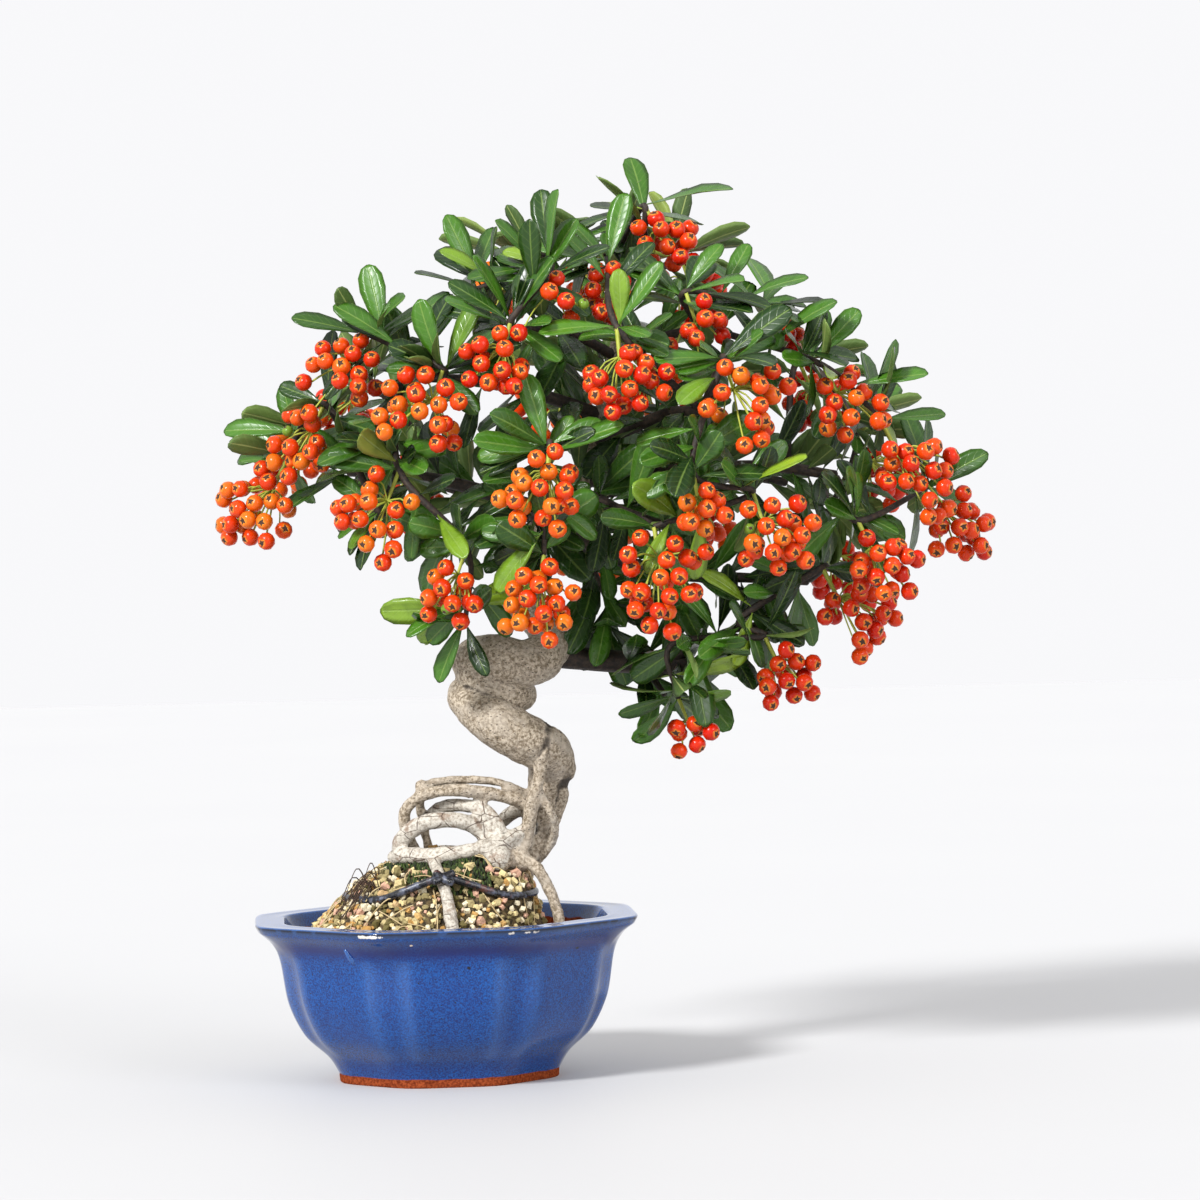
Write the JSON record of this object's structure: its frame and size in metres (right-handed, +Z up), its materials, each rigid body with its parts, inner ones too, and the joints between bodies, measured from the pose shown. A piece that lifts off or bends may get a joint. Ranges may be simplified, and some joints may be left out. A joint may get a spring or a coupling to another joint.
{
  "type": "pyracantha bonsai",
  "caption": "Small pyracantha trained as a bonsai, with a coiled trunk over looping roots, leafy twigs and hanging berry bunches, in an eight-sided glazed pot.",
  "frame": {"origin": "middle of the bounding box, at the height of the pot's foot ring", "axes": "+Z up, +X to the right and +Y to the back as the tree is seen from its front"},
  "size_m": [0.2968, 0.2134, 0.352],
  "materials": {
    "pot": "gloss",
    "soil": "matte",
    "trunk": "matte",
    "tie": "matte",
    "drain_mesh": "matte",
    "leaves": "satin",
    "berries": "satin"
  },
  "bodies": {
    "root": {"berries_back_1": "berries", "berries_back_2": "berries", "berries_back_3": "berries", "berries_back_4": "berries", "berries_crest_back_1": "berries", "berries_crest_back_2": "berries", "berries_crest_back_3": "berries", "berries_crest_left_1": "berries", "berries_crest_left_2": "berries", "berries_crest_middle_1": "berries", "berries_crest_middle_2": "berries", "berries_crest_right_1": "berries", "berries_crest_right_2": "berries", "berries_crown_1": "berries", "berries_front_1": "berries", "berries_front_2": "berries", "berries_front_3": "berries", "berries_front_4": "berries", "berries_left_back_1": "berries", "berries_left_back_2": "berries", "berries_left_high_1": "berries", "berries_left_high_2": "berries", "berries_left_low_1": "berries", "berries_left_low_2": "berries", "berries_left_tip_2": "berries", "berries_left_tip_3": "berries", "berries_left_tip_4": "berries", "berries_middle_1": "berries", "berries_middle_2": "berries", "berries_right_back_1": "berries", "berries_right_back_2": "berries", "berries_right_back_3": "berries", "berries_right_high_1": "berries", "berries_right_high_2": "berries", "berries_right_low_1": "berries", "berries_right_low_3": "berries", "berries_right_low_5": "berries", "berries_right_tip_1": "berries", "berries_right_tip_2": "berries", "drain_mesh": "drain_mesh", "leaves_back": "leaves", "leaves_crest_back": "leaves", "leaves_crest_left": "leaves", "leaves_crest_middle": "leaves", "leaves_crest_right": "leaves", "leaves_crown": "leaves", "leaves_front": "leaves", "leaves_left_back": "leaves", "leaves_left_high": "leaves", "leaves_left_low": "leaves", "leaves_left_tip": "leaves", "leaves_middle": "leaves", "leaves_right_back": "leaves", "leaves_right_high": "leaves", "leaves_right_low": "leaves", "leaves_right_tip": "leaves", "pot": "pot", "soil": "soil", "tie": "tie", "trunk": "trunk"}
  },
  "joints": []
}
